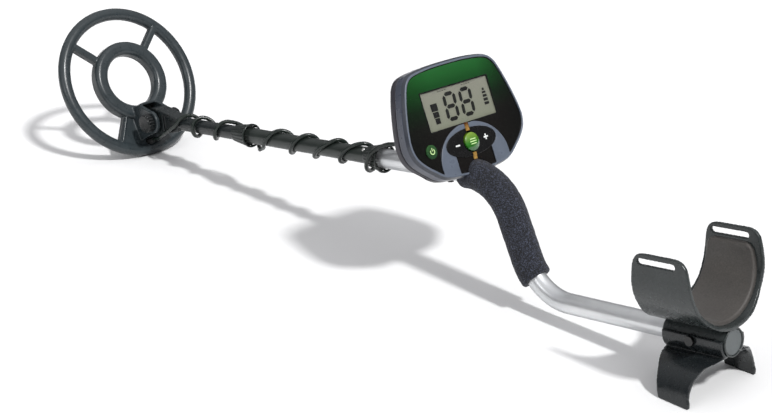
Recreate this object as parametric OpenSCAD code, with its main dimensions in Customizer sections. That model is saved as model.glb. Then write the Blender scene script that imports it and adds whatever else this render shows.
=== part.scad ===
// Metal detector with an open-web search coil, a telescoping S-shaft, a control
// housing, a foam hand grip, and an arm cup with a stand.
// +X points from the arm cup to the coil, +Y to the user's left, +Z up.
// The origin lies on the floor, in the middle of the whole object's box.

/* [Shaft] */
// Slope of both straight shaft runs below the horizontal, degrees
shaft_pitch = 8.1; // [6:0.1:10]
// Distance between the rear tube's axis and the front shaft's axis
rise = 124.4; // [110:0.2:140]
// Angle that the grip run stands at, measured from the rear tube, degrees
grip_angle = 70; // [62:1:76]
// Centre-line radius of both bends of the S-rod
bend_r = 60; // [50:1:70]
// Length of the straight rear tube, up to its bend
rear_straight = 203; // [180:1:230]
// Distance along the shaft from the rod's rear end to the coil pivot
pivot_along = 902.6; // [880:0.2:940]
// Outside diameter of the S-rod
rod_d = 22.2; // [22:0.1:23]
// Outside diameter of the middle tube
mid_d = 19.2; // [19:0.1:19.2]
// Outside diameter of the lower stem
stem_d = 17.8; // [17.4:0.1:17.8]

/* [Coil] */
// Outside diameter of the search coil
coil_d = 203.2; // [190:0.2:230]
// Tilt of the coil above the horizontal, degrees
coil_tilt = 59.7; // [50:0.1:65]
// Distance from the coil's centre back to its pivot
pivot_back = 66; // [62:1:72]
// Height of the pivot above the middle of the outer ring
pivot_up = 39.8; // [36:0.2:44]

/* [Housing] */
// Lean of the control panel from the shaft's direction, degrees
face_angle = 72.7; // [68:0.1:80]
// Greatest half width of the control housing
face_half_w = 86; // [82:1:90]
// Width of the display window
lcd_w = 100; // [90:1:104]
// Height of the display window
lcd_h = 42; // [38:1:44]

/* [Arm cup and stand] */
// Outside radius of the arm cup's trough
cup_r = 59.5; // [54:0.5:64]
// Length of the arm cup along the tube
cup_len = 73; // [64:1:84]
// Height of the arm cup's rim above the tube's axis
cup_top = 95.5; // [88:0.5:104]
// Half width of the stand at its feet
stand_half_w = 55; // [50:1:62]

/* [Cable] */
// Diameter of the coil cable
cable_d = 5; // [4:0.5:5]

/* [Hidden] */

$fn = 64;
eps = 0.01;
far = 400;
coat = 0.05;            // radial clearance of every running fit

// tubes
rod_r = rod_d / 2;
mid_r = mid_d / 2;
stem_r = stem_d / 2;
rod_bore_r = mid_r + coat;
mid_bore_r = stem_r + coat;
stem_bore_r = 7;
armrest_hole_x = 34;
tangent = bend_r * tan(grip_angle / 2);
grip_run = rise / sin(grip_angle) - 2 * tangent;
bend1_x = rear_straight;
bend1_end = [bend1_x + bend_r * sin(grip_angle), bend_r * (1 - cos(grip_angle))];
bend2_x = bend1_x + 2 * tangent + rise / tan(grip_angle);
weld = 0.02;
weld_half = 0.3;
weld_gap = 0.05;
rod_front = 480;
mid_back = 440;
mid_front = 724;
stem_back = 526;
grip_r = 17;
grip_wrap = 22;         // degrees of the lower bend that the foam covers
grip_front = 340;

// coil
coil_r = coil_d / 2;
ring_w = 16;
ring_t = 15.2;
ring_round = 7.5;
inner_r0 = 35;
inner_r1 = 53;
inner_top = 12.5;
ring_low = -ring_t / 2;
web_top = 5;
web_low = -6;
web_half_angle = 32;
spoke_angle = 46;
spoke_w = 9.5;
split_z = -2;           // plane between the upper and the lower coil shell
winding_r = 2.6;
ear_in = 11;
ear_out = 16;
ear_r = 15;
head_r = 18;
head_half_w = 9;
bolt_r = 4;
knob_r = 12;
knob_len = 10.5;

// places of the frames
coil_z = (coil_r - ring_round) * sin(coil_tilt)
    + (ring_t / 2 - ring_round) * cos(coil_tilt) + ring_round;
pivot_z = coil_z - pivot_back * sin(coil_tilt) + pivot_up * cos(coil_tilt);
rod_end_z = pivot_z + pivot_along * sin(shaft_pitch) - rise * cos(shaft_pitch);
pivot_ahead = pivot_along * cos(shaft_pitch) + rise * sin(shaft_pitch);
coil_ahead = pivot_ahead + pivot_back * cos(coil_tilt) + pivot_up * sin(coil_tilt);
front_reach = coil_ahead + (coil_r - ring_round) * cos(coil_tilt)
    - (ring_t / 2 - ring_round) * sin(coil_tilt) + ring_round
    + 2 * (ring_t / 2 - ring_round) * sin(coil_tilt);
sleeve_back = 4;
sleeve_r = 15;
rear_reach = sleeve_back * cos(shaft_pitch) + sleeve_r * sin(shaft_pitch);
rod_end_x = -(front_reach - rear_reach) / 2;

// housing
face_x = 341.8;
face_z = 200.2;
face_mid = -12.7;
face_half_h = 61.3;
panel_inset = 3.8;
ridge = 1.9;             // slope between the outline and the raised front edge
ridge_low = -3.2;
floor_h = -1.2;         // the panel lies on this floor
floor_low = -3.7;
front_back = -13;
rear_front = -14;
shell_break = -21;      // where the rear shell starts to narrow
shell_back = -47;
back_scale = 0.66;
back_mid = -16;
wall = 2.6;
pad_v = -42.5;
pad_a = 37;
pad_b = 15;
menu_r = 10;
power_at = [-58, -40];
power_r = 7.5;
key_low = -4.9;
key_travel = 1;
screw_at = [[58, 25], [64, -44], [-70, -50], [-58, 25]];
socket_at = [0, -28];
jack_at = [27, -31];
jack_r = 3.2;
mount_screws = [347, 365];

// collars
upper_back = 468;
upper_end = 494.8;
lower_back = 709.7;
lower_end = 740;
lip = 1.6;              // smooth ring behind the ribs
recess = 6;             // depth of the open rear face

// lock button
button_x = 497.8;
button_r = 2.4;
button_proud = 2.4;
button_turn = 33;       // degrees round the tube from its top

// ---- frames -------------------------------------------------------------

module on_body() {
    translate([rod_end_x, 0, rod_end_z]) rotate([0, shaft_pitch, 0]) children();
}

module on_shaft() {
    on_body() translate([0, 0, rise]) children();
}

// x to the user's right, y up the panel, z out of the panel
module on_face() {
    on_body() translate([face_x, 0, face_z]) rotate([0, -face_angle, 0])
        rotate([0, 0, -90]) children();
}

// x to the coil's front edge, z out of its upper face, origin at its centre
module on_coil() {
    translate([rod_end_x + coil_ahead, 0, coil_z]) rotate([0, -coil_tilt, 0]) children();
}

module at_pivot() {
    translate([-pivot_back, 0, pivot_up]) children();
}

// ---- shared shapes ------------------------------------------------------

module along(x0, x1, r) {
    translate([x0, 0, 0]) rotate([0, 90, 0]) cylinder(h = x1 - x0, r = r);
}

module across(y0, y1, r) {
    translate([0, y0, 0]) rotate([-90, 0, 0]) cylinder(h = y1 - y0, r = r);
}

module side_slab(y0, y1) {
    translate([0, y1, 0]) rotate([90, 0, 0]) linear_extrude(y1 - y0) children();
}

module cross_slab(x0, x1) {
    translate([x0, 0, 0]) rotate([90, 0, 90]) linear_extrude(x1 - x0) children();
}

module turned(points) {
    rotate([0, 90, 0]) rotate_extrude() polygon(points);
}

// rectangle between two corners with round corners
module soft_box(p, q, r) {
    translate([p.x, p.y + r]) square([q.x - p.x, q.y - p.y - 2 * r]);
    translate([p.x + r, p.y]) square([q.x - p.x - 2 * r, q.y - p.y]);
    for (x = [p.x + r, q.x - r], y = [p.y + r, q.y - r]) translate([x, y]) circle(r);
}

function ellipse_points(a, b, n = 48) = [for (i = [0:n - 1]) [a * cos(i * 360 / n), b * sin(i * 360 / n)]];

// smooth closed curve through a few corner points
function catmull(p, q, r, s, t) = 0.5 * (2 * q + (r - p) * t
    + (2 * p - 5 * q + 4 * r - s) * t * t + (3 * q - p - 3 * r + s) * t * t * t);
function smooth(pts, n = 4) = let (c = len(pts)) [
    for (i = [0:c - 1], k = [0:n - 1])
        catmull(pts[(i + c - 1) % c], pts[i], pts[(i + 1) % c], pts[(i + 2) % c], k / n)];

// the rod's centre line as a solid of any radius, from the lower bend's chosen
// angle (or the whole rear tube) to a chosen place on the front run; a hair-thin
// raised ring covers each place where a bend meets a straight run
module rod_run(r, front, rear = true, lower_bend = grip_angle) {
    if (rear) along(0, bend1_x - weld_gap, r);
    if (rear) along(bend1_x - weld_half, bend1_x + weld_half, r + weld);
    translate([bend1_x, 0, bend_r]) rotate([90, 0, 0]) rotate([0, 0, grip_angle - lower_bend - 90])
        rotate_extrude(angle = lower_bend) translate([bend_r, 0]) circle(r);
    translate([bend1_end.x, 0, bend1_end.y]) rotate([0, 90 - grip_angle, 0]) {
        translate([0, 0, weld_gap]) cylinder(h = grip_run - 2 * weld_gap, r = r);
        for (z = [0, grip_run]) translate([0, 0, z - weld_half])
            cylinder(h = 2 * weld_half, r = r + weld);
    }
    translate([bend2_x, 0, rise - bend_r]) rotate([90, 0, 0]) rotate([0, 0, 90])
        rotate_extrude(angle = grip_angle) translate([bend_r, 0]) circle(r);
    translate([0, 0, rise]) {
        along(bend2_x - weld_half, bend2_x + weld_half, r + weld);
        along(bend2_x + weld_gap, front, r);
    }
}

// ---- shaft --------------------------------------------------------------

module s_rod() {
    color("silver") on_body() difference() {
        rod_run(rod_r, rod_front);
        translate([-1, 0, 0]) along(0, bend1_x / 2, rod_bore_r);
        rod_run(rod_bore_r, rod_front + 1);
        translate([armrest_hole_x, 0, 0]) across(-40, 40, 2.6);
        for (x = mount_screws) translate([x, 0, rise - 20]) cylinder(h = 40, r = 2.2);
    }
}

module foam_grip() {
    color("#1b1e28") on_body() difference() {
        rod_run(grip_r, grip_front, false, grip_wrap);
        rod_run(rod_r + coat, grip_front + 1, false, grip_wrap + 2);
    }
}

module tube_end_plug() {
    color("dimgray") on_body() {
        along(-3, 0, 12.8);
        along(0, 14, rod_bore_r - coat);
    }
}

module middle_tube() {
    color("#2f3634") on_shaft() difference() {
        along(mid_back, mid_front, mid_r);
        along(mid_back - 1, mid_front + 1, mid_bore_r);
        rotate([-button_turn, 0, 0]) translate([button_x, 0, 0]) cylinder(h = 20, r = button_r + coat);
    }
}
module at_button() {
    on_shaft() rotate([-button_turn, 0, 0]) translate([button_x, 0, 0]) children();
}

module lock_button() {
    color("gainsboro") at_button() {
        translate([0, 0, 6.8]) cylinder(h = mid_r + button_proud - 6.8 - button_r, r = button_r);
        translate([0, 0, mid_r + button_proud - button_r - 0.01]) intersection() {
            sphere(r = button_r);
            cylinder(h = 10, r = 10);
        }
    }
}

// bent leaf that pushes the button out through the middle tube's wall
module lock_spring() {
    leaf = 0.6;
    color("silver") at_button() side_slab(-3.5, 3.5) polygon([
        [3, 6.75], [-22, 5.4], [-30, 0], [-22, -6.6], [-2, -8.1], [-2, -8.1 + leaf],
        [-21.6, -6.6 + leaf], [-29.2, 0], [-21.6, 5.4 - leaf], [3, 6.75 - leaf]]);
}

// split sleeve: a wide seat over the outer tube's end and a thin nose on the inner tube
module collet(x_back, x_seat, x_nose, seat_r, nose_r, tube_r, inner_r) {
    on_shaft() difference() {
        union() {
            along(x_back, x_seat, seat_r);
            along(x_seat, x_nose, nose_r);
        }
        along(x_back - 1, x_seat - 1, tube_r + coat);
        along(x_back - 1, x_nose + 1, inner_r + coat);
        for (a = [0, 90]) rotate([a, 0, 0])
            translate([x_seat + 2, -1, -far / 2]) cube([far, 2, far]);
    }
}

module upper_collet() {
    color("#3a3f3e") collet(475, rod_front + 1, 491.5, 12.6, 10.8, rod_r, mid_r);
}

module lower_collet() {
    color("#3a3f3e") collet(717, mid_front + 1, 736.5, 10.8, 9.5, mid_r, stem_r);
}

// locking collar: open rear face, smooth lip, then a ribbed cone towards the coil
module collar(x0, x2, rim_r, tip_r, bore_r, seat_r, seat_x, nose_r, nose_x, tip_bore, ribs) {
    on_shaft() difference() {
        turned([[bore_r, x0], [rim_r - 0.6, x0], [rim_r, x0 + 0.6], [rim_r, x0 + lip],
            [rim_r - 0.5, x0 + lip], [tip_r, x2], [tip_bore, x2], [tip_bore, nose_x],
            [nose_r + coat, nose_x], [nose_r + coat, seat_x], [seat_r + coat, seat_x],
            [seat_r + coat, x0 + recess], [bore_r, x0 + recess]]);
        for (i = [0:ribs - 1]) rotate([i * 360 / ribs, 0, 0])
            side_slab(-0.7, 0.7) polygon([[x0 + lip + 1, rim_r - 1.6], [x2 - 3, tip_r - 0.1],
                [x2 - 3, tip_r + 8], [x0 + lip + 1, rim_r + 4]]);
    }
}

module upper_collar() {
    color("#23292b")
        collar(upper_back, upper_end, 16.8, 11.4, 14.9, 12.6, rod_front + 2, 10.8, 492, 9.9, 20);
}

module lower_collar() {
    color("#23292b")
        collar(lower_back, lower_end, 14.8, 10.3, 13, 10.8, mid_front + 2, 9.5, 737, 9.2, 18);
}

module lower_stem() {
    wedge = [[853, -stem_r], [894, -17.2], [894, 17.2], [853, stem_r]];
    pocket = [[858, -6], [884, -10.5], [884, 10.5], [858, 6]];
    color("#2a3034") on_shaft() difference() {
        union() {
            along(stem_back, 862, stem_r);
            side_slab(-head_half_w, head_half_w) polygon(wedge);
            side_slab(-head_half_w, head_half_w) translate([pivot_along, 0]) circle(head_r);
        }
        along(stem_back - 1, 842, stem_bore_r);
        for (s = [-1, 1]) side_slab(s > 0 ? 6 : -10, s > 0 ? 10 : -6) polygon(pocket);
        translate([pivot_along, 0, 0]) across(-far, far, bolt_r + coat);
    }
}

// ---- coil ---------------------------------------------------------------

module coil_solid() {
    rotate_extrude($fn = 128) soft_box([coil_r - ring_w, ring_low], [coil_r, -ring_low], ring_round);
    rotate_extrude($fn = 96) soft_box([inner_r0, ring_low], [inner_r1, inner_top], 6);
    for (a = [-spoke_angle, spoke_angle]) rotate([0, 0, a])
        cross_slab(inner_r1 - 3, coil_r - ring_w + 3)
            soft_box([-spoke_w / 2, web_low], [spoke_w / 2, 7], 3);
    rotate([0, 0, 180 - web_half_angle]) rotate_extrude(angle = 2 * web_half_angle)
        translate([inner_r1 - 3, web_low]) square([coil_r - ring_w - inner_r1 + 6, web_top - web_low]);
    for (a = [-web_half_angle + 2, web_half_angle - 2]) rotate([0, 0, 180 + a])
        cross_slab(inner_r1 - 1, coil_r - ring_w + 2) soft_box([-1.6, 0], [1.6, web_top + 3], 1.4);
}

module ear_outline() {
    polygon([[-36, 0], [-38.5, 28], [-57.4, pivot_up + 12.2], [-66, pivot_up + 14.9],
        [-80.6, pivot_up], [-80, 0]]);
    translate([-pivot_back, pivot_up]) circle(ear_r);
}

module winding(r, z, tube) {
    rotate_extrude($fn = 96) translate([r, z]) circle(tube);
}

module coil_grooves() {
    winding(coil_r - ring_w / 2, 0, winding_r + 0.1);
    winding((inner_r0 + inner_r1) / 2, 0, winding_r + 0.1);
}

module coil_shell_upper() {
    color("#3c464b") on_coil() difference() {
        union() {
            intersection() {
                coil_solid();
                translate([-far / 2, -far / 2, split_z]) cube([far, far, far]);
            }
            for (s = [-1, 1]) side_slab(s > 0 ? ear_in : -ear_out, s > 0 ? ear_out : -ear_in)
                ear_outline();
            translate([-39.5, -ear_in - eps, 0]) cube([3.5, 2 * ear_in + 2 * eps, 28]);
        }
        coil_grooves();
        at_pivot() across(-far, far, bolt_r + coat);
        translate(gland_at) cylinder(h = 40, r = 4.5);
    }
}
gland_at = [-85, 4.5, 1];

module coil_shell_lower() {
    color("#333c40") on_coil() difference() {
        intersection() {
            coil_solid();
            translate([-far / 2, -far / 2, split_z - far]) cube([far, far, far]);
        }
        coil_grooves();
    }
}

module coil_winding_outer() {
    color("peru") on_coil() winding(coil_r - ring_w / 2, 0, winding_r);
}

module coil_winding_inner() {
    color("peru") on_coil() winding((inner_r0 + inner_r1) / 2, 0, winding_r);
}

module coil_cable_gland() {
    color("#16191a") on_coil() translate(gland_at) difference() {
        union() {
            cylinder(h = 8, r = 4.4);
            translate([0, 0, 8]) cylinder(h = 8, r1 = 4.4, r2 = 3.2);
        }
        translate([0, 0, -1]) cylinder(h = 30, r = cable_d / 2 + 0.12);
    }
}

module pivot_washers() {
    color("#111111") on_coil() at_pivot() for (s = [-1, 1]) difference() {
        across(s > 0 ? head_half_w + 0.05 : -ear_in, s > 0 ? ear_in : -head_half_w - 0.05, 11);
        across(-far, far, bolt_r + coat);
    }
}

module pivot_bolt() {
    color("#1c2022") on_coil() at_pivot() {
        across(-ear_out - 9, ear_out + 9, bolt_r);
    }
}

// ribbed hand knob outside one ear
module pivot_knob(side) {
    on_coil() at_pivot() scale([1, 1, 1]) difference() {
        union() {
            across(side > 0 ? ear_out + 0.3 : -ear_out - knob_len, side > 0 ? ear_out + knob_len
                : -ear_out - 0.3, knob_r - 1);
            for (i = [0:17]) rotate([0, i * 20, 0]) translate([knob_r - 1.2, 0, 0])
                across(side > 0 ? ear_out + 1 : -ear_out - knob_len + 1.5,
                    side > 0 ? ear_out + knob_len - 1.5 : -ear_out - 1, 1.2);
        }
        across(side > 0 ? 0 : -ear_out - 9.05, side > 0 ? ear_out + 9.05 : 0, bolt_r + coat);
    }
}

module pivot_knob_left() {
    color("#1c2022") pivot_knob(1);
}

module pivot_knob_right() {
    color("#1c2022") pivot_knob(-1);
}

// ---- arm cup and stand --------------------------------------------------

cup_wall = 4;
cup_mid_z = sleeve_r - 1 + cup_r;
cup_x0 = -2;
cup_x1 = cup_x0 + cup_len;
slot_z = 88;

module trough(r) {
    translate([0, cup_mid_z]) {
        circle(r, $fn = 128);
        translate([-r, 0]) square([2 * r, 60]);
    }
}

cup_side = smooth([[cup_x0, 4], [cup_x0 + 0.2, 40], [cup_x0 + 1.2, 62], [cup_x0 + 3.5, 80],
    [cup_x0 + 6.5, 90], [cup_x0 + 15, cup_top], [cup_x0 + 37, cup_top + 0.5],
    [cup_x1 - 14, cup_top], [cup_x1 - 6.5, 90], [cup_x1 - 3.5, 80], [cup_x1 - 1.2, 62],
    [cup_x1, 40], [cup_x1, 4]]);

module strap_slot() {
    slot_x0 = cup_x0 + 20.5;
    slot_x1 = cup_x1 - 13.5;
    translate([slot_x0, -far / 2, slot_z - 3]) cube([slot_x1 - slot_x0, far, 6]);
    for (x = [slot_x0, slot_x1]) translate([x, 0, slot_z]) across(-far / 2, far / 2, 3);
}

module arm_cup() {
    color("#444c4d") on_body() difference() {
        union() {
            intersection() {
                cross_slab(cup_x0 - 10, cup_x1 + 10) difference() {
                    trough(cup_r);
                    trough(cup_r - cup_wall);
                }
                side_slab(-far, far) polygon(cup_side);
            }
            along(-sleeve_back, cup_x1, sleeve_r);
            translate([cup_x0 + 4, -9, 8]) cube([cup_len - 8, 18, 9]);
        }
        cross_slab(cup_x0 - 10, cup_x1 + 10) trough(cup_r - cup_wall);
        along(-20, far, rod_r + coat);
        along(-20, 0, 13);
        translate([armrest_hole_x, 0, 0]) across(-far, far, 2.6);
        strap_slot();
    }
}

module arm_pad() {
    pad_side = smooth([[2.2, 16], [2.6, 60], [5.5, 76], [13, 81.5], [35, 82], [57, 81.5],
        [64.5, 76], [67.3, 60], [68.2, 16]]);
    color("#55524c") on_body() intersection() {
        cross_slab(1.5, 69.5) difference() {
            trough(cup_r - cup_wall - 0.3);
            trough(cup_r - cup_wall - 4.1);
        }
        side_slab(-far, far) polygon(pad_side);
    }
}

arch_out = 38;
arch_t = 4;
arch_mid_z = -51;

module arch(r) {
    flat = stand_half_w - arch_out;
    for (s = [-1, 1]) translate([s * flat, arch_mid_z]) circle(r, $fn = 96);
    translate([-flat, arch_mid_z - r]) square([2 * flat, 2 * r]);
    translate([-flat - r, arch_mid_z - 20]) square([2 * (flat + r), 20]);
}

module stand() {
    leg_side = smooth([[-2.2, 6], [-2.2, -12], [6, -18.5], [11.5, -30], [13.2, -44], [12.5, -51],
        [17, -56], [44, -54], [48.6, -47], [51.5, -36], [56, -23], [63, -15], [69, -11], [69, 6]]);
    color("#3d4445") intersection() {
        on_body() difference() {
            intersection() {
                union() {
                    cross_slab(-10, 80) difference() {
                        arch(arch_out);
                        arch(arch_out - arch_t);
                        translate([-far / 2, -far - 75]) square([far, far]);
                    }
                    along(-2.2, 69, sleeve_r + 3.6);
                }
                side_slab(-far, far) polygon(leg_side);
            }
            along(-20, far, sleeve_r + 0.05);
            translate([-far / 2, -far / 2, 5]) cube([far, far, far]);
            translate([armrest_hole_x, 0, 0]) across(-far, far, 2.6);
        }
        translate([-1.5 * far, -far, 0]) cube([2 * far, 2 * far, far]);
    }
}

module armrest_bolt() {
    color("#22282a") on_body() translate([armrest_hole_x, 0, 0]) {
        across(-sleeve_r - 9, sleeve_r + 3.7, 2.5);
        across(sleeve_r + 3.7, sleeve_r + 7, 5.2);
    }
}

module armrest_nut() {
    color("#22282a") on_body() translate([armrest_hole_x, 0, 0]) difference() {
        rotate([0, 30, 0]) translate([0, -sleeve_r - 7.7, 0]) rotate([-90, 0, 0])
            cylinder(h = 4, r = 5.2, $fn = 6);
        across(-far, far, 2.55);
    }
}

// ---- control housing ----------------------------------------------------

half_face = [[30, 47.9], [56, 44.5], [66.5, 37.5], [72, 27], [77, 13], [81.5, -3], [84.7, -18],
    [face_half_w, -31], [83.2, -43], [76, -52.5], [64, -62.5], [48, -72.5], [24, -76]];
face_pts = concat([[0, 48.6]], half_face, [[0, -77]],
    [for (i = [len(half_face) - 1:-1:0]) [-half_face[i].x, half_face[i].y]]);

function inset(p, d) = [p.x * (face_half_w - d) / face_half_w,
    face_mid + (p.y - face_mid) * (face_half_h - d) / face_half_h];
function outline(d, n = 4) = [for (p = smooth(face_pts, n)) inset(p, d)];
function back_outline(d) = [for (p = smooth(face_pts, 2))
    [p.x * back_scale * (face_half_w - d) / face_half_w,
        back_mid + (p.y - back_mid) * back_scale * (face_half_h - d) / face_half_h]];

module slab(h0, h1) {
    translate([0, 0, h0]) linear_extrude(h1 - h0) children();
}

module lcd_rect(grow) {
    translate([-lcd_w / 2 - grow, -lcd_h / 2 - grow]) square([lcd_w + 2 * grow, lcd_h + 2 * grow]);
}

module pad_shape(grow) {
    translate([0, pad_v]) polygon(ellipse_points(pad_a + grow, pad_b + grow));
}

// raised band that arches over the key pad
module arch_band() {
    difference() {
        translate([0, -62]) polygon(ellipse_points(50, 41));
        pad_shape(0.4);
        translate([-27, -90]) square([54, 46]);
        translate([-3, -40]) square([6, 30]);
    }
}

module rod_space(grow) {
    translate([0, 0, 0]) rotate([0, 0, 90]) rotate([0, face_angle, 0])
        translate([-face_x, 0, -face_z]) {
        rod_run(grip_r + 0.4 + grow, grip_front + 1, false, grip_wrap);
        translate([0, 0, rise]) along(300, 420, rod_r + coat + grow);
    }
}

module screw_bosses(h0, h1, r) {
    for (p = screw_at) translate([p.x, p.y, h0]) cylinder(h = h1 - h0, r = r);
}

module housing_front() {
    color("#6d7784") on_face() difference() {
        union() {
            difference() {
                union() {
                    slab(front_back, ridge_low) polygon(outline(0));
                    hull() {
                        slab(ridge_low - 0.1, ridge_low) polygon(outline(0));
                        slab(1.5, 1.6) polygon(outline(ridge));
                    }
                }
                slab(floor_h, 5) polygon(outline(panel_inset));
                slab(front_back - 1, floor_low) polygon(outline(wall));
            }
            intersection() {
                slab(floor_low, 1.4) arch_band();
                slab(floor_low, 5) polygon(outline(panel_inset - 1));
            }
            screw_bosses(front_back, floor_low + eps, 4);
        }
        slab(floor_low - 1, 5) lcd_rect(1);
        slab(floor_low - 1, 5) pad_shape(0.15);
        slab(floor_low - 1, 5) translate(power_at) circle(power_r + 0.15);
        screw_bosses(front_back - 1, -4.5, 1.55);
        rod_space(0);
    }
}

module face_panel() {
    color("#123d1c") on_face() difference() {
        slab(floor_h, 0) polygon(outline(panel_inset + 0.2));
        slab(-5, 5) lcd_rect(0.2);
        slab(-5, 5) arch_band();
        slab(-5, 5) pad_shape(0.15);
        slab(-5, 5) translate([-2.8, -31]) square([5.6, 12]);
        slab(-5, 5) translate([-2.8, -61.6]) square([5.6, 4.1]);
        slab(-5, 5) translate(power_at) circle(power_r + 0.15);
        rod_space(0.3);
    }
}

module gold_trim() {
    color("goldenrod") on_face() {
        slab(floor_h, 1.3) translate([-2.6, -30.2]) square([5.2, 9]);
        slab(floor_h, 0.6) translate([-2.6, -61.4]) square([5.2, 3.7]);
    }
}

module lcd_window() {
    color("lightgray") on_face() slab(floor_h, 0) lcd_rect(0);
}

module lcd_module() {
    color("#b9b7a6") on_face() {
        slab(-7.4, -4) lcd_rect(2);
        slab(-4, -3.9) lcd_rect(-1);
    }
}

module circuit_board() {
    color("darkgreen") on_face() difference() {
        union() {
            slab(-10.6, -9) translate([-50, -46]) square([100, 78]);
            slab(-13.4, -10.6) translate([-8, -14]) square([18, 18]);
            slab(-12.8, -10.6) translate([18, 2]) square([12, 8]);
            slab(-13.8, -10.6) translate([-34, 4]) square([8, 12]);
            for (x = [-40, -28, 26, 36]) translate([x, -36, -14.6]) cylinder(h = 4, r = 3.2);
        }
        rod_space(3);
    }
}

module keypad_mat() {
    color("#303030") on_face() {
        slab(-7.9, -6.1) translate([-65, -58]) square([105, 33]);
        for (p = [[-20, pad_v], [20, pad_v], [0, pad_v], power_at])
            translate([p.x, p.y, -8.9]) cylinder(h = 1, r = 3);
    }
}

module key_body(low, high) {
    slab(low, high) children();
}

module power_button() {
    color("forestgreen") on_face() translate(power_at) {
        translate([0, 0, key_low]) cylinder(h = 1, r = power_r + 1.2);
        translate([0, 0, key_low + 1]) cylinder(h = 5, r = power_r);
    }
}

module menu_button() {
    color("green") on_face() translate([0, pad_v, 0]) {
        translate([0, 0, key_low]) cylinder(h = 1, r = menu_r + 0.8);
        translate([0, 0, key_low + 1]) cylinder(h = 6.1, r = menu_r);
        translate([0, 0, 2.2]) intersection() {
            translate([0, 0, -22]) sphere(r = 24.6);
            cylinder(h = 4, r = menu_r);
        }
    }
}

// one half of the oval pad, with room for the menu button and the gold trim
module pad_key(side) {
    on_face() difference() {
        union() {
            slab(key_low + 1, 1.2) pad_shape(0);
            slab(key_low, key_low + 1) pad_shape(0.9);
        }
        translate([0, pad_v, -8]) cylinder(h = 12, r = menu_r + 1);
        translate([side > 0 ? -far : -2.9, -far / 2, -8]) cube([far + 2.9, far, 12]);
    }
}

module minus_key() {
    color("#101212") pad_key(-1);
}

module plus_key() {
    color("#101212") pad_key(1);
}

module rear_volume(d) {
    slab(shell_break, rear_front) polygon(outline(d));
    hull() {
        slab(shell_break, shell_break + 0.1) polygon(outline(d, 2));
        slab(shell_back + d, shell_back + d + 0.1) polygon(back_outline(d));
    }
}

door_w = 58;
door_v0 = -8;
door_v1 = 25;

module housing_rear() {
    color("#3b363c") on_face() difference() {
        union() {
            difference() {
                rear_volume(0);
                intersection() {
                    rear_volume(wall);
                    slab(shell_back + wall + 1, 0) square(far, center = true);
                }
                translate([0, 0, rear_front - 0.5]) slab(0, 1) polygon(outline(wall));
            }
            intersection() {
                rear_volume(0);
                union() {
                    rod_space(2.6);
                    screw_bosses(-60, rear_front - 1, 5.5);
                    mount_bosses(4.6);
                }
            }
        }
        rod_space(0);
        screw_bosses(rear_front - 12, 0, 1.7);
        screw_bosses(-60, rear_front - 6, 3.6);
        mount_bosses(2.05);
        slab(shell_back - 5, shell_back + 2.2)
            translate([-door_w / 2 - 0.15, door_v0]) square([door_w + 0.3, 60]);
        slab(shell_back - 5, 0) translate([-26, -5]) square([52, 27]);
        slab(shell_back - 5, 0) translate(socket_at) circle(7.05);
        slab(shell_back - 5, 0) translate(jack_at) circle(4.05);
        translate([-68, -62, -19.5]) rotate([0, 0, 30]) cube([20, 16, 3.6], center = true);
    }
}

// columns above the rod that the two mounting screws run up into
module mount_bosses(r) {
    rotate([0, 0, 90]) rotate([0, face_angle, 0]) translate([-face_x, 0, -face_z])
        for (x = mount_screws) translate([x, 0, rise]) cylinder(h = 24, r = r);
}

module housing_gasket() {
    color("#151515") on_face() difference() {
        slab(rear_front, front_back) polygon(outline(0.9));
        slab(rear_front - 1, front_back + 1) polygon(outline(wall));
        rod_space(0.3);
    }
}

module housing_screws() {
    color("silver") on_face() for (p = screw_at) translate([p.x, p.y, 0]) {
        translate([0, 0, rear_front - 8.4]) cylinder(h = 2.4, r = 3);
        translate([0, 0, rear_front - 6.1]) cylinder(h = 15, r = 1.5);
    }
}

module mounting_screws() {
    color("#15181a") on_shaft() for (x = mount_screws) translate([x, 0, 0]) {
        translate([0, 0, -rod_r - 2.45]) cylinder(h = 2.4, r = 3.5);
        translate([0, 0, -rod_r - 0.1]) cylinder(h = 32.1, r = 2);
    }
}

module speaker() {
    color("#202020") on_face() translate([-52, -12, 0]) {
        slab(-24, -21) circle(16);
        slab(-30, -24) circle(9);
    }
}

module headphone_jack() {
    color("#101010") on_face() translate([jack_at.x, jack_at.y, 0]) difference() {
        union() {
            slab(shell_back - 2, shell_back) circle(6.5);
            slab(shell_back, -24) circle(4);
        }
        slab(shell_back - 3, -26) circle(jack_r);
    }
}

module battery_door() {
    color("#3b363c") on_face() difference() {
        slab(shell_back, shell_back + 2)
            translate([-door_w / 2, door_v0 + 0.15]) square([door_w, door_v1 - door_v0]);
        for (i = [0:3]) slab(shell_back - 1, shell_back + 0.6)
            translate([-9, 12 + i * 3]) square([18, 1.4]);
    }
}

module battery() {
    color("#8a8a8a") on_face() {
        slab(-43, -25.5) translate([-24.2, -4.6]) square([44.5, 26.2]);
        for (v = [2, 15]) translate([20.3, v, -34.2]) rotate([0, 90, 0]) cylinder(h = 2.4, r = 3);
    }
}

module battery_clip() {
    color("#141414") on_face() difference() {
        slab(-43, -25.5) translate([20.4, -4.6]) square([5.2, 26.2]);
        for (v = [2, 15]) translate([20, v, -34.2]) rotate([0, 90, 0]) cylinder(h = 2.9, r = 3.1);
    }
}

module coil_socket() {
    color("#8d9196") on_face() translate([socket_at.x, socket_at.y, 0]) difference() {
        union() {
            slab(shell_back, -34) circle(7);
            slab(shell_back - 7, shell_back) circle(7.6);
        }
        slab(shell_back - 8, -38) circle(5.2);
    }
}

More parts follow.
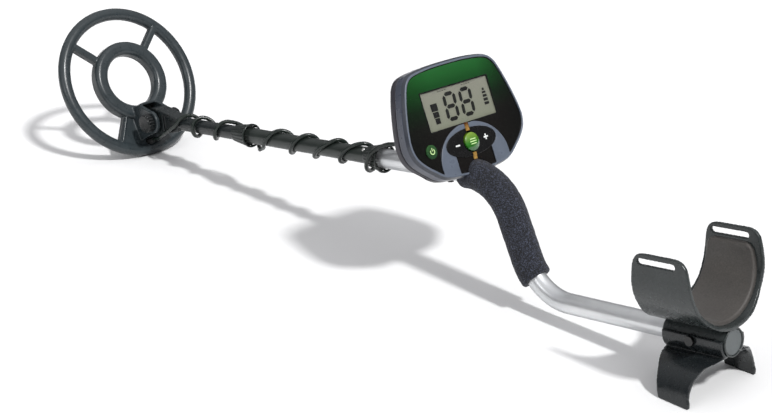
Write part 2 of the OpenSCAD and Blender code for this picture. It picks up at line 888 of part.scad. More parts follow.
module cable_plug() {
    color("#1a1c1d") on_face() translate([socket_at.x, socket_at.y, 0]) difference() {
        union() {
            slab(-52, -39) circle(5.1);
            slab(-64, -54.2) circle(6);
            slab(-54.2, -52) circle(5.1);
            translate([0, 0, -76]) cylinder(h = 12, r1 = 3.2, r2 = 5.4);
        }
        slab(-80, -66) circle(cable_d / 2 + 0.02);
    }
}

module plug_ring() {
    color("#9a9ea2") on_face() translate([socket_at.x, socket_at.y, 0]) difference() {
        union() {
            slab(-61, -48) circle(9);
            for (i = [0:11]) rotate([0, 0, i * 30]) translate([8.8, 0, -60]) cylinder(h = 11, r = 0.8);
        }
        slab(-54.1, -40) circle(7.65);
        slab(-70, -54) circle(6.05);
    }
}

// ---- coil cable ---------------------------------------------------------

// The cable winds round the shaft: [place along the shaft, turns so far, distance
// from the shaft's axis]. A quarter turn is the top, zero the user's left side.
wind_lead = [[906, -0.215, 25], [893, -0.175, 22.8], [880, -0.125, 18.4], [866, -0.075, 14.9],
    [852, 0.01, 13], [838.6, 0.268, 12.9]];
wind_stem = [[838, 0.28, 12.9], [829, 0.54, 13.4], [818, 0.86, 13.8], [811, 1.26, 13.4],
    [793, 1.6, 12.6], [775, 1.88, 12.6], [759, 2.28, 12.8], [751, 2.37, 13.2]];
wind_tube = [[750.4, 2.3747, 13.2], [742, 2.44, 14], [734, 2.5, 15.4], [722, 2.58, 17], [711, 2.66, 18.2],
    [702, 2.72, 18], [691, 2.79, 15.2], [681, 2.84, 12.9], [654, 3.26, 12.8], [628, 3.85, 12.8],
    [604, 4.25, 12.8], [584, 4.86, 12.8], [551, 5.23, 12.8], [537, 5.88, 12.8], [508, 6.26, 13],
    [499, 6.53, 14.6], [490, 6.81, 16.6], [479, 7, 18.4], [468, 7.12, 20], [454, 7.21, 20]];
plug_end = [397, 0, 29.3];
tail = [[446, 3.6, 19.9], [436, 2.2, 20.5], [426, 1, 21.7], [416, 0.2, 23.8], [406, 0, 26.5]];

// points along the winding, eased through all stations
function station(w, i) = w[min(max(i, 0), len(w) - 1)];
function wind_points(w) = [for (i = [0:len(w) - 2])
    let (n = max(1, ceil(max(abs(w[i + 1][1] - w[i][1]) * 14, abs(w[i + 1][0] - w[i][0]) / 14))))
    for (k = [0:n - 1])
        on_helix(catmull(station(w, i - 1), w[i], w[i + 1], station(w, i + 2), k / n))];
function on_helix(s) = [s[0], s[2] * cos(360 * s[1]), s[2] * sin(360 * s[1])];
function last_point(w) = on_helix(w[len(w) - 1]);

// a point of the coil's frame, seen from the shaft's frame
function coil_to_shaft(p) =
    let (a = coil_tilt + shaft_pitch, dx = p.x + pivot_back, dz = p.z - pivot_up)
    [pivot_along + dx * cos(a) - dz * sin(a), p.y, dx * sin(a) + dz * cos(a)];

function unit(v) = v / norm(v);
function sweep_dir(p, i) = unit(p[min(i + 1, len(p) - 1)] - p[max(i - 1, 0)]);
function sweep_side(d) = unit(cross(d, abs(d.x) > 0.9 ? [0, 0, 1] : [1, 0, 0]));
// carry the side vector along the path so that the tube doesn't twist
function side_list(p, i = 0, acc = []) = i == len(p) ? acc :
    let (d = sweep_dir(p, i), s = i == 0 ? sweep_side(d) : unit(acc[i - 1] - d * (acc[i - 1] * d)))
    side_list(p, i + 1, concat(acc, [s]));

module swept(p, r, sides = 8) {
    s = side_list(p);
    n = len(p);
    rings = [for (i = [0:n - 1]) let (d = sweep_dir(p, i), b = cross(d, s[i]))
        for (k = [0:sides - 1]) p[i] + r * (cos(k * 360 / sides) * s[i] + sin(k * 360 / sides) * b)];
    walls = [for (i = [0:n - 2], k = [0:sides - 1])
        let (a = i * sides + k, b = i * sides + (k + 1) % sides) [a, a + sides, b + sides, b]];
    ends = [[for (k = [0:sides - 1]) k], [for (k = [sides - 1:-1:0]) (n - 1) * sides + k]];
    polyhedron(rings, concat(walls, ends), convexity = 10);
}

module cable_coil_lead() {
    start = [for (up = [0, 7, 15, 20]) 
        coil_to_shaft([gland_at.x - 0.01 * pow(max(up - 14, 0), 2), gland_at.y, gland_at.z + up])];
    color("#14201b") on_shaft()
        swept(concat(start, wind_points(wind_lead), [last_point(wind_lead)]), cable_d / 2);
}

module cable_stem_wraps() {
    color("#14201b") on_shaft()
        swept(concat(wind_points(wind_stem), [last_point(wind_stem)]), cable_d / 2);
}

module cable_tube_wraps() {
    color("#14201b") on_shaft()
        swept(concat(wind_points(wind_tube), [last_point(wind_tube)], tail, [plug_end]), cable_d / 2);
}

// ---- nodes --------------------------------------------------------------

s_rod();
foam_grip();
tube_end_plug();
middle_tube();
lock_button();
lock_spring();
upper_collet();
upper_collar();
lower_collet();
lower_collar();
lower_stem();
coil_shell_upper();
coil_shell_lower();
coil_winding_outer();
coil_winding_inner();
coil_cable_gland();
pivot_washers();
pivot_bolt();
pivot_knob_left();
pivot_knob_right();
arm_cup();
arm_pad();
stand();
armrest_bolt();
armrest_nut();
housing_front();
housing_rear();
housing_gasket();
housing_screws();
mounting_screws();
face_panel();
gold_trim();
lcd_window();
lcd_module();
circuit_board();
keypad_mat();
power_button();
menu_button();
minus_key();
plus_key();
speaker();
headphone_jack();
battery_door();
battery();
battery_clip();
coil_socket();
cable_plug();
plug_ring();
cable_coil_lead();
cable_stem_wraps();
cable_tube_wraps();
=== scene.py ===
import math

import bmesh
import bpy
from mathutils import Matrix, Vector


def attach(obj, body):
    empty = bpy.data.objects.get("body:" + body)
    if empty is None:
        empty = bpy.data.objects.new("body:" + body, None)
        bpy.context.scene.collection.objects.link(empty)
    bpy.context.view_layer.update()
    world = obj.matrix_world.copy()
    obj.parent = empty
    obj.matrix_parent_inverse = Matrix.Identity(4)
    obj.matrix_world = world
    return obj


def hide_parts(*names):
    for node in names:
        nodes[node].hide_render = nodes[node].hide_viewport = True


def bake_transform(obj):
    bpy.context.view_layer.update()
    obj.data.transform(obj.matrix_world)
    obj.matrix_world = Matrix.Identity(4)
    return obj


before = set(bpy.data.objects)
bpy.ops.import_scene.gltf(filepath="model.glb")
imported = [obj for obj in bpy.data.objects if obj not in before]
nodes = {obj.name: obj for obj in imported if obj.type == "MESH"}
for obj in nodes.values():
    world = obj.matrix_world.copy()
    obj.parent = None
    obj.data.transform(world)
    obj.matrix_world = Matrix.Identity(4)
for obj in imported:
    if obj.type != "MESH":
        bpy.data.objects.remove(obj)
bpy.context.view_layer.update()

scene = bpy.context.scene
MM = 0.001
TURN = 2 * math.pi


# ---- camera -------------------------------------------------------------
def aim(o, direction):
    """Point an object's -Z axis along a direction."""
    o.rotation_euler = Vector(direction).to_track_quat("-Z", "Y").to_euler()


def put_camera():
    cam = bpy.data.objects.new("camera", bpy.data.cameras.new("camera"))
    scene.collection.objects.link(cam)
    scene.camera = cam
    cam.data.sensor_fit = "HORIZONTAL"
    cam.data.sensor_width = 36.0
    cam.data.lens = 80.84
    cam.data.clip_start, cam.data.clip_end = 0.05, 30.0
    yaw, pitch = math.radians(-43.267), math.radians(-21.751)
    cam.location = Vector((-1.3714, 1.25894, 0.78788))
    aim(cam, (math.cos(pitch) * math.cos(yaw), math.cos(pitch) * math.sin(yaw), math.sin(pitch)))


put_camera()

# ---- frames, from the same dimensions as the CAD, in millimetres ---------
PITCH = math.radians(8.1)  # fall of the shaft towards the coil
RISE = 124.4  # height of the front run over the rear run
GRIP_ANGLE, BEND_R, REAR = math.radians(70), 60.0, 203.0  # the tube's bends
TILT = math.radians(59.7)  # coil's slope at rest
COIL_R, RIM, HALF_T = 101.6, 7.5, 7.6
PIVOT, BACK, UP = 902.6, 66.0, 39.8  # pivot bolt along the shaft and from the coil's centre
FACE = math.radians(72.7)  # control panel's slope
FACE_X, FACE_Z = 341.8, 200.2  # control panel's centre

coil_z = (COIL_R - RIM) * math.sin(TILT) + (HALF_T - RIM) * math.cos(TILT) + RIM
pivot_z = coil_z - BACK * math.sin(TILT) + UP * math.cos(TILT)
rod_z = pivot_z + PIVOT * math.sin(PITCH) - RISE * math.cos(PITCH)
ahead = (PIVOT * math.cos(PITCH) + RISE * math.sin(PITCH)
         + BACK * math.cos(TILT) + UP * math.sin(TILT))
front = ahead + (COIL_R - RIM) * math.cos(TILT) + RIM + (HALF_T - RIM) * math.sin(TILT)
rod_x = -(front - 4 * math.cos(PITCH) - 15 * math.sin(PITCH)) / 2


def B(x, y, z):
    """A point of the rear tube's frame, in metres of the row frame."""
    c, s = math.cos(PITCH), math.sin(PITCH)
    return Vector((rod_x + x * c + z * s, y, rod_z - x * s + z * c)) * MM


def S(x, y, z):
    """A point of the front run's frame, where y = z = 0 is the shaft's axis."""
    return B(x, y, z + RISE)


def F(u, v, h):
    """A point of the control panel's frame: u to the right, v up, h out of it."""
    c, s = math.cos(FACE), math.sin(FACE)
    return B(FACE_X + v * c - h * s, -u, FACE_Z + v * s + h * c)


def C(u, y, w):
    """A point of the coil's frame: u to its front edge, w out of its upper face."""
    c, s = math.cos(TILT), math.sin(TILT)
    return Vector((rod_x + ahead + u * c - w * s, y, coil_z + u * s + w * c)) * MM


U_AXIS = (F(1, 0, 0) - F(0, 0, 0)).normalized()
V_AXIS = (F(0, 1, 0) - F(0, 0, 0)).normalized()
H_AXIS = (F(0, 0, 1) - F(0, 0, 0)).normalized()


# ---- materials ----------------------------------------------------------
def lin(r, g, b):
    """Linear colour from 0 to 255 display values."""
    def one(v):
        v /= 255.0
        return v / 12.92 if v <= 0.04045 else ((v + 0.055) / 1.055) ** 2.4

    return (one(r), one(g), one(b), 1.0)


class Mat:
    """A small wrapper that builds one procedural material."""

    def __init__(self, name, rough=0.4, metallic=0.0, **sockets):
        self.m = bpy.data.materials.new(name)
        self.m.use_nodes = True
        self.t = self.m.node_tree
        self.p = self.t.nodes["Principled BSDF"]
        self.p.inputs["Roughness"].default_value = rough
        self.p.inputs["Metallic"].default_value = metallic
        for k, v in sockets.items():
            self.p.inputs[k.replace("_", " ")].default_value = v
        self.co = self.t.nodes.new("ShaderNodeTexCoord").outputs["Object"]
        self.normal = None

    def add(self, kind, **props):
        n = self.t.nodes.new(kind)
        for k, v in props.items():
            setattr(n, k, v)
        return n

    def link(self, a, b):
        self.t.links.new(a, b)

    def noise(self, scale, detail=3.0, rough=0.55, stretch=None):
        n = self.add("ShaderNodeTexNoise")
        n.inputs["Scale"].default_value = scale
        n.inputs["Detail"].default_value = detail
        n.inputs["Roughness"].default_value = rough
        src = self.co
        if stretch:
            mp = self.add("ShaderNodeMapping")
            mp.inputs["Scale"].default_value = stretch
            self.link(self.co, mp.inputs["Vector"])
            src = mp.outputs["Vector"]
        self.link(src, n.inputs["Vector"])
        return n.outputs["Fac"]

    def ramp(self, fac, stops):
        r = self.add("ShaderNodeValToRGB")
        while len(r.color_ramp.elements) < len(stops):
            r.color_ramp.elements.new(0.5)
        for e, (pos, col) in zip(r.color_ramp.elements, stops):
            e.position = pos
            e.color = col
        self.link(fac, r.inputs["Fac"])
        return r.outputs["Color"]

    def range(self, fac, a, b, c, d):
        n = self.add("ShaderNodeMapRange")
        for k, v in (("From Min", a), ("From Max", b), ("To Min", c), ("To Max", d)):
            n.inputs[k].default_value = v
        self.link(fac, n.inputs["Value"])
        return n.outputs["Result"]

    def mix(self, fac, a, b, mode="MIX"):
        n = self.add("ShaderNodeMix", data_type="RGBA", blend_type=mode)
        factor, first, second = n.inputs[0], n.inputs[6], n.inputs[7]
        if isinstance(fac, float):
            factor.default_value = fac
        else:
            self.link(fac, factor)
        for s, v in ((first, a), (second, b)):
            if isinstance(v, tuple):
                s.default_value = v
            else:
                self.link(v, s)
        return n.outputs[2]

    def along(self, axis, origin, low, high):
        """0 to 1 over the stretch from low to high millimetres past origin along axis."""
        sub = self.add("ShaderNodeVectorMath", operation="SUBTRACT")
        self.link(self.co, sub.inputs[0])
        sub.inputs[1].default_value = origin
        dot = self.add("ShaderNodeVectorMath", operation="DOT_PRODUCT")
        self.link(sub.outputs[0], dot.inputs[0])
        dot.inputs[1].default_value = Vector(axis) / MM
        return self.range(dot.outputs["Value"], low, high, 0.0, 1.0)

    def color(self, out):
        self.link(out, self.p.inputs["Base Color"])

    def rough(self, scale, detail, low, high):
        """Roughness that wanders between low and high."""
        out = self.range(self.noise(scale, detail), 0.3, 0.7, low, high)
        self.link(out, self.p.inputs["Roughness"])

    def bump(self, height, strength, distance):
        b = self.add("ShaderNodeBump")
        b.inputs["Strength"].default_value = strength
        b.inputs["Distance"].default_value = distance
        self.link(height, b.inputs["Height"])
        if self.normal is not None:
            self.link(self.normal, b.inputs["Normal"])
        self.normal = b.outputs["Normal"]
        self.link(self.normal, self.p.inputs["Normal"])

    def edge_wear_and_highlight(self, color, worn_and_lit, amount):
        """Lighter colour where the surface is convex: a painted highlight along edges and rib
        crests, together with rubbed edges.
        """
        g = self.add("ShaderNodeNewGeometry")
        # painted highlight: convex edges and rib crests lightened towards a pale colour, along with
        # real rubbing
        w = self.range(g.outputs["Pointiness"], 0.57, 0.66, 0.0, amount)
        return self.mix(w, color, worn_and_lit)


GRAIN_STRENGTH = 0.1


def plastic(name, rgb, rough=0.42, var=0.12, grain=900.0, grain_h=0.00012, wear_and_highlight=0.3):
    """Moulded plastic: a little colour variation, fine grain, and convex edges lightened as painted
    highlight and rubbed edges.
    """
    m = Mat(name, rough)
    base = lin(*rgb)[:3]
    dark = tuple(c * (1 - var) for c in base) + (1,)
    light = tuple(min(1, c * (1 + var)) for c in base) + (1,)
    # pale colour for convex edges: painted highlight and rubbed edges
    worn_and_lit = tuple(min(1, c * 1.9 + 0.02) for c in base) + (1,)
    col = m.ramp(m.noise(38.0, 4.0), [(0.3, dark), (0.7, light)])
    m.color(m.edge_wear_and_highlight(col, worn_and_lit, wear_and_highlight))
    m.rough(120.0, 3.0, rough - 0.06, rough + 0.08)
    m.bump(m.noise(grain, 2.0, 0.6), GRAIN_STRENGTH, grain_h)
    return m.m


# name, colour, then what differs from the usual plastic
PLASTICS = {
    "coil": ("coil_plastic", (44, 51, 54), dict(rough=0.3, grain=1400, grain_h=0.00006, wear_and_highlight=0.2)),
    "stem": ("stem_plastic", (27, 32, 33), dict(rough=0.3, grain=1400, grain_h=0.00006)),
    # collars: strong edge lightening, a painted highlight on the rib crests
    "collar": ("collar_plastic", (28, 35, 32),
               dict(rough=0.34, grain=1200, grain_h=0.00008, wear_and_highlight=0.6)),
    "knob": ("knob_plastic", (15, 18, 19), dict(rough=0.3, wear_and_highlight=0.5)),
    "cup": ("cup_plastic", (43, 48, 48), dict(rough=0.27, grain=1600, grain_h=0.00005, wear_and_highlight=0.35)),
    "stand": ("stand_plastic", (28, 32, 34),
              dict(rough=0.25, grain=1600, grain_h=0.00005, wear_and_highlight=0.4)),
    "rear": ("rear_plastic", (44, 42, 50),
             dict(rough=0.33, var=0.08, grain=1800, grain_h=0.00005, wear_and_highlight=0.25)),
    "grey_plug": ("end_plug_plastic", (84, 89, 90), dict(rough=0.4)),
    "black": ("black_plastic", (9, 9, 10), dict(rough=0.24, var=0.2, grain_h=0.00004, wear_and_highlight=0.15)),
    "rubber": ("black_rubber", (12, 13, 14), dict(rough=0.6, wear_and_highlight=0.25)),
    "cable": ("cable_jacket", (22, 31, 27), dict(rough=0.3, grain=700, grain_h=0.00005, wear_and_highlight=0.12)),
    "white": ("white_print", (225, 228, 226), dict(rough=0.45, var=0.03, wear_and_highlight=0.0)),
    "ink": ("lcd_ink", (6, 6, 6), dict(rough=0.5, var=0.1, wear_and_highlight=0.0)),
    "icon": ("icon_print", (196, 228, 158), dict(rough=0.35, var=0.05, wear_and_highlight=0.0)),
}


def shaft_materials(M):
    # middle tube: powder coat, a little metallic sheen under a soft clear coat
    m = Mat("tube_powder_coat", 0.38, 0.25, Coat_Weight=0.3, Coat_Roughness=0.3)
    m.color(m.ramp(m.noise(60, 4), [(0.3, lin(28, 35, 32)), (0.7, lin(38, 45, 41))]))
    m.rough(300, 3, 0.32, 0.46)
    m.bump(m.noise(2600, 2), 0.2, 0.00004)
    M["tube"] = m.m

    # satin anodised aluminium with fine drawn lines along the tube
    m = Mat("anodised_aluminium", 0.36, 0.85)
    m.color(m.ramp(m.noise(22, 3), [(0.3, lin(205, 207, 209)), (0.7, lin(226, 227, 228))]))
    drawn = m.noise(500, 3, 0.6, (0.06, 1, 1))
    m.link(m.range(drawn, 0.3, 0.7, 0.32, 0.44), m.p.inputs["Roughness"])
    m.bump(m.noise(1800, 2, 0.6, (0.03, 1, 1)), 0.12, 0.00003)
    M["rod"] = m.m

    m = Mat("bright_steel", 0.25, 1.0)
    m.color(m.ramp(m.noise(90, 3), [(0.3, lin(170, 170, 168)), (0.7, lin(205, 205, 202))]))
    m.rough(400, 3, 0.18, 0.34)
    M["steel"] = m.m

    # closed-cell foam: tight cells, pale flecks, dull
    m = Mat("grip_foam", 0.9, 0.0, Sheen_Weight=0.08, Sheen_Roughness=0.5)
    cells = m.add("ShaderNodeTexVoronoi")
    cells.inputs["Scale"].default_value = 720.0
    m.link(m.co, cells.inputs["Vector"])
    fleck = m.ramp(m.noise(640, 4, 0.8), [
        (0.4, lin(6, 7, 10)), (0.5, lin(20, 22, 30)), (0.66, lin(84, 90, 110))])
    m.color(m.mix(m.range(m.noise(30, 2), 0.3, 0.7, 0.0, 0.3), fleck, lin(12, 13, 18)))
    m.bump(cells.outputs["Distance"], 0.9, 0.0006)
    m.bump(m.noise(380, 3, 0.7), 0.8, 0.0009)
    M["foam"] = m.m

    # arm pad: warm grey felted foam
    m = Mat("pad_foam", 0.5, 0.0, Sheen_Weight=0.15, Sheen_Roughness=0.4)
    felt = m.ramp(m.noise(620, 5, 0.7), [(0.3, lin(62, 59, 56)), (0.7, lin(84, 80, 76))])
    m.color(m.mix(m.range(m.noise(26, 3), 0.35, 0.7, 0.0, 0.4), felt, lin(62, 60, 59)))
    m.rough(240, 3, 0.42, 0.56)
    m.bump(m.noise(900, 4, 0.7), 0.25, 0.0002)
    M["pad"] = m.m


def green_key(name, centre, top, mid, low, rough):
    """Glossy green key, lighter at its top, over 11 mm each way from its centre."""
    m = Mat(name, rough, 0.0, Coat_Weight=0.8, Coat_Roughness=0.06)
    shade = m.ramp(m.along(V_AXIS, centre, -11.0, 11.0), [(0.0, low), (0.45, mid), (1.0, top)])
    m.color(m.mix(m.range(m.noise(500, 2), 0.3, 0.7, 0.0, 0.08), shade, lin(20, 40, 20)))
    m.rough(200, 2, rough - 0.04, rough + 0.05)
    return m.m


def housing_materials(M):
    origin = F(0, 0, 0)
    # housing front, banded by depth: pale raised edge as painted highlight, dark slope below it as
    # painted shade, slate side band
    m = Mat("bezel_plastic", 0.3, 0.0, Coat_Weight=0.2, Coat_Roughness=0.25)
    # painted highlight on the raised edge and painted shade on the slope, by depth across the one
    # moulding
    band = m.ramp(m.along(H_AXIS, origin, -14.0, 2.0), [
        (0.0, lin(60, 64, 76)), (0.66, lin(66, 71, 84)), (0.72, lin(44, 48, 57)),
        (0.935, lin(50, 55, 65)), (0.955, lin(92, 100, 113)), (1.0, lin(98, 106, 119))])
    m.color(m.mix(m.range(m.noise(60, 4), 0.3, 0.7, 0.0, 0.12), band, lin(40, 44, 52)))
    m.rough(120, 3, 0.26, 0.38)
    M["bezel"] = m.m

    # printed panel: green at the top, fading to warm black
    m = Mat("printed_panel", 0.2, 0.0, Coat_Weight=0.15, Coat_Roughness=0.1,
            Specular_IOR_Level=0.3)
    down = m.ramp(m.along(V_AXIS, origin, -26.0, 44.0), [
        (0.0, lin(14, 11, 10)), (0.16, lin(16, 15, 12)), (0.42, lin(8, 32, 12)),
        (0.72, lin(14, 66, 24)), (0.9, lin(24, 84, 34)), (1.0, lin(30, 90, 40))])
    across = m.ramp(m.along(U_AXIS, origin, -80.0, 80.0), [
        (0.0, lin(150, 190, 150)), (0.3, lin(255, 255, 255)),
        (0.75, lin(255, 255, 255)), (1.0, lin(140, 150, 140))])
    col = m.mix(1.0, down, across, "MULTIPLY")
    m.color(m.mix(m.range(m.noise(300, 2), 0.3, 0.7, 0.0, 0.06), col, lin(40, 48, 40)))
    m.rough(150, 2, 0.12, 0.22)
    M["panel"] = m.m

    # the display's grey-green field
    m = Mat("display_field", 0.5)
    pale = m.ramp(m.along(V_AXIS, origin, -22.0, 22.0), [
        (0.0, lin(150, 154, 134)), (1.0, lin(163, 162, 149))])
    m.color(m.mix(m.range(m.noise(900, 3, 0.7), 0.3, 0.7, 0.0, 0.35), pale, lin(140, 144, 126)))
    M["field"] = m.m

    m = Mat("display_window", 0.05, 0.0, Alpha=0.12, IOR=1.45)
    m.color(m.ramp(m.noise(60, 2), [
        (0.3, (0.004, 0.005, 0.004, 1)), (0.7, (0.008, 0.009, 0.008, 1))]))
    m.bump(m.noise(60, 2), 0.02, 0.0001)
    M["window"] = m.m

    m = Mat("gold_trim", 0.28, 0.55, Coat_Weight=0.3)
    m.color(m.ramp(m.along(V_AXIS, F(0, -42, 0), -20.0, 20.0), [
        (0.0, lin(200, 158, 84)), (0.5, lin(176, 126, 54)),
        (0.86, lin(190, 146, 78)), (1.0, lin(104, 60, 26))]))
    m.rough(700, 3, 0.22, 0.36)
    M["gold"] = m.m

    M["menu"] = green_key("menu_key_green", F(0, -42.5, 0),
                          lin(120, 150, 30), lin(44, 112, 26), lin(2, 66, 24), 0.2)
    M["power"] = green_key("power_key_green", F(-58, -40, 0),
                           lin(44, 88, 40), lin(26, 66, 30), lin(14, 48, 22), 0.22)

    m = Mat("copper_wire", 0.35, 0.9)
    m.color(m.ramp(m.noise(400, 3), [(0.3, lin(150, 84, 50)), (0.7, lin(196, 120, 78))]))
    M["copper"] = m.m

    m = Mat("solder_mask", 0.35)
    m.color(m.ramp(m.noise(90, 4), [(0.35, lin(12, 70, 34)), (0.65, lin(18, 92, 46))]))
    m.bump(m.noise(500, 3), 0.2, 0.0001)
    M["board"] = m.m


M = {key: plastic(name, rgb, **rest) for key, (name, rgb, rest) in PLASTICS.items()}
shaft_materials(M)
housing_materials(M)

FINISH = {
    "rod": ["s_rod"], "tube": ["middle_tube"], "stem": ["lower_stem"],
    "collar": ["upper_collet", "upper_collar", "lower_collet", "lower_collar"],
    "coil": ["coil_shell_upper", "coil_shell_lower"],
    "copper": ["coil_winding_outer", "coil_winding_inner"],
    "rubber": ["coil_cable_gland", "pivot_washers", "housing_gasket", "keypad_mat"],
    "knob": ["pivot_bolt", "pivot_knob_left", "pivot_knob_right", "battery_clip", "cable_plug",
             "speaker"],
    "cup": ["arm_cup"], "stand": ["stand"], "grey_plug": ["tube_end_plug"],
    "steel": ["lock_button", "lock_spring", "headphone_jack", "coil_socket", "plug_ring",
              "battery"],
    "black": ["armrest_bolt", "armrest_nut", "mounting_screws", "housing_screws", "minus_key",
              "plus_key"],
    "bezel": ["housing_front"], "rear": ["housing_rear", "battery_door"],
    "panel": ["face_panel"], "gold": ["gold_trim"], "window": ["lcd_window"],
    "field": ["lcd_module"], "board": ["circuit_board"],
    "power": ["power_button"], "menu": ["menu_button"], "pad": ["arm_pad"], "foam": ["foam_grip"],
    "cable": ["cable_coil_lead", "cable_stem_wraps", "cable_tube_wraps"],
}
for mat, names in FINISH.items():
    for n in names:
        nodes[n].data.materials.clear()
        nodes[n].data.materials.append(M[mat])


# ---- softer edges on the moulded CAD pieces -------------------------------
def clear_normals(o):
    a = o.data.attributes.get("custom_normal")
    if a is not None:
        o.data.attributes.remove(a)


def round_off(node, voxel, rounds):
    """Fine grid and a little easing: moulded plastic has no knife edges."""
    o = nodes[node]
    clear_normals(o)
    g = o.modifiers.new("grid", "REMESH")
    g.mode = "VOXEL"
    g.voxel_size = voxel * MM
    g.use_smooth_shade = True
    s = o.modifiers.new("ease", "SMOOTH")
    s.factor = 0.5
    s.iterations = rounds


def crisp(node, angle=35):
    """Machined or small pieces: merged faces, smooth between sharp edges."""
    o = nodes[node]
    clear_normals(o)
    w = o.modifiers.new("weld", "WELD")
    w.merge_threshold = 2e-6
    o.data.polygons.foreach_set("use_smooth", [True] * len(o.data.polygons))
    e = o.modifiers.new("split", "EDGE_SPLIT")
    e.split_angle = math.radians(angle)


# grid size in millimetres and rounds of easing
MOULDED = {
    "arm_cup": (0.7, 5), "stand": (0.7, 5),
    "coil_shell_upper": (0.7, 7), "coil_shell_lower": (0.8, 5),
    "housing_front": (0.45, 3), "housing_rear": (0.8, 6), "lower_stem": (0.5, 4),
    "upper_collar": (0.3, 2), "lower_collar": (0.28, 2),
    "pivot_knob_left": (0.3, 3), "pivot_knob_right": (0.3, 3),
    "plus_key": (0.35, 3), "minus_key": (0.35, 3), "tube_end_plug": (0.3, 3),
    "coil_cable_gland": (0.3, 3), "plug_ring": (0.3, 2), "cable_plug": (0.3, 3),
    "armrest_bolt": (0.3, 2),
}
for n, (voxel, rounds) in MOULDED.items():
    round_off(n, voxel, rounds)
for n in nodes:
    if not nodes[n].modifiers:
        crisp(n)


# ---- shared mesh tools ----------------------------------------------------
def make(name, verts, faces, mat, smooth=True):
    me = bpy.data.meshes.new(name)
    me.from_pydata([tuple(v) for v in verts], [], faces)
    me.validate()
    me.update()
    o = bpy.data.objects.new(name, me)
    scene.collection.objects.link(o)
    me.materials.append(M[mat])
    me.polygons.foreach_set("use_smooth", [smooth] * len(me.polygons))
    bm = bmesh.new()
    bm.from_mesh(me)
    bmesh.ops.recalc_face_normals(bm, faces=bm.faces)
    bm.to_mesh(me)
    bm.free()
    return o


def catmull(p, q, r, s, t):
    """Point at t between q and r on the curve through p, q, r and s."""
    return 0.5 * (2 * q + (r - p) * t + (2 * p - 5 * q + 4 * r - s) * t * t
                  + (3 * q - p - 3 * r + s) * t ** 3)


def skin(rows, sides):
    """Faces between successive rings of points."""
    faces = []
    for i in range(rows - 1):
        for k in range(sides):
            a, b = i * sides + k, i * sides + (k + 1) % sides
            faces.append((a, a + sides, b + sides, b))
    return faces


def tube(name, pts, radius, mat, sides=14, cap=True):
    """Round tube along a list of points, carried without twist."""
    verts = []
    side = None
    n = len(pts)
    for i, p in enumerate(pts):
        d = (pts[min(i + 1, n - 1)] - pts[max(i - 1, 0)]).normalized()
        if side is None:
            side = d.cross(Vector((0, 0, 1)) if abs(d.x) > 0.9 else Vector((1, 0, 0)))
        side = (side - d * side.dot(d)).normalized()
        other = d.cross(side)
        for k in range(sides):
            a = TURN * k / sides
            verts.append(p + (side * math.cos(a) + other * math.sin(a)) * radius * MM)
    faces = skin(n, sides)
    if cap:
        faces.append(tuple(range(sides)))
        faces.append(tuple(range((n - 1) * sides, n * sides))[::-1])
    return make(name, verts, faces, mat)


def slab(outline, low, high, first=0):
    """Points and faces of an extruded (u, v) outline on the control panel."""
    n = len(outline)
    verts = [F(u, v, h) for h in (low, high) for u, v in outline]
    faces = [tuple(range(first, first + n))[::-1], tuple(range(first + n, first + 2 * n))]
    for i in range(n):
        a, b = first + i, first + (i + 1) % n
        faces.append((a, b, n + b, n + a))
    return verts, faces


def prism(name, outline, low, high, mat):
    return make(name, *slab(outline, low, high), mat, False)


def ring_strip(name, outer, inner, low, high, mat):
    """Flat band on the control panel, between two outlines with as many points."""
    n = len(outer)
    verts = [F(*p, h) for h in (low, high) for line in (outer, inner) for p in line]
    faces = []
    for i in range(n):
        j = (i + 1) % n
        o0, o1, i0, i1 = i, j, n + i, n + j
        O0, O1, I0, I1 = (k + 2 * n for k in (o0, o1, i0, i1))
        faces += [(O0, O1, I1, I0), (o0, i0, i1, o1), (o0, o1, O1, O0), (i0, I0, I1, i1)]
    return make(name, verts, faces, mat, False)


def box(u0, v0, u1, v1):
    return [(u0, v0), (u1, v0), (u1, v1), (u0, v1)]


def rounded_box(u0, v0, u1, v1, r, n=5):
    corners = ((u1 - r, v1 - r, 0), (u0 + r, v1 - r, 90),
               (u0 + r, v0 + r, 180), (u1 - r, v0 + r, 270))
    pts = []
    for cu, cv, a0 in corners:
        for k in range(n + 1):
            a = math.radians(a0 + 90 * k / n)
            pts.append((cu + r * math.cos(a), cv + r * math.sin(a)))
    return pts


# ---- coil cable -------------------------------------------------------------
CABLE_R = 2.5
# (place along the shaft, turns round it, distance from its axis)
LEAD = [(906, -0.215, 25), (893, -0.175, 22.8), (880, -0.125, 18.4), (866, -0.075, 14.9),
        (852, 0.01, 13), (838, 0.28, 12.4)]
STEM = [(838, 0.28, 12.4), (829, 0.54, 12.4), (818, 0.86, 12.6), (811, 1.26, 12.4),
        (793, 1.6, 11.7), (775, 1.88, 11.6), (759, 2.28, 12.4), (751, 2.37, 13.1)]
TUBE = [(751, 2.37, 13.1), (742, 2.44, 14), (734, 2.5, 15.4), (722, 2.58, 17), (711, 2.66, 18),
        (702, 2.72, 17.6), (691, 2.79, 14.6), (681, 2.84, 12.3), (654, 3.26, 12.2),
        (628, 3.85, 12.2), (604, 4.25, 12.2), (584, 4.86, 12.2), (551, 5.23, 12.2),
        (537, 5.88, 12.2), (508, 6.26, 12.6), (499, 6.53, 14.4), (490, 6.81, 16.6),
        (479, 7, 18.4), (468, 7.12, 20), (454, 7.21, 20)]
# points of the front run's frame, from the last turn to the plug
TAIL = [(446, 3.6, 19.9), (436, 2.2, 20.5), (426, 1, 21.7), (416, 0.2, 23.8), (406, 0, 26.5),
        (397, 0, 29.3)]
# the gland on the coil, in the coil's frame
GLAND = (-85.0, 4.5, 1.0)


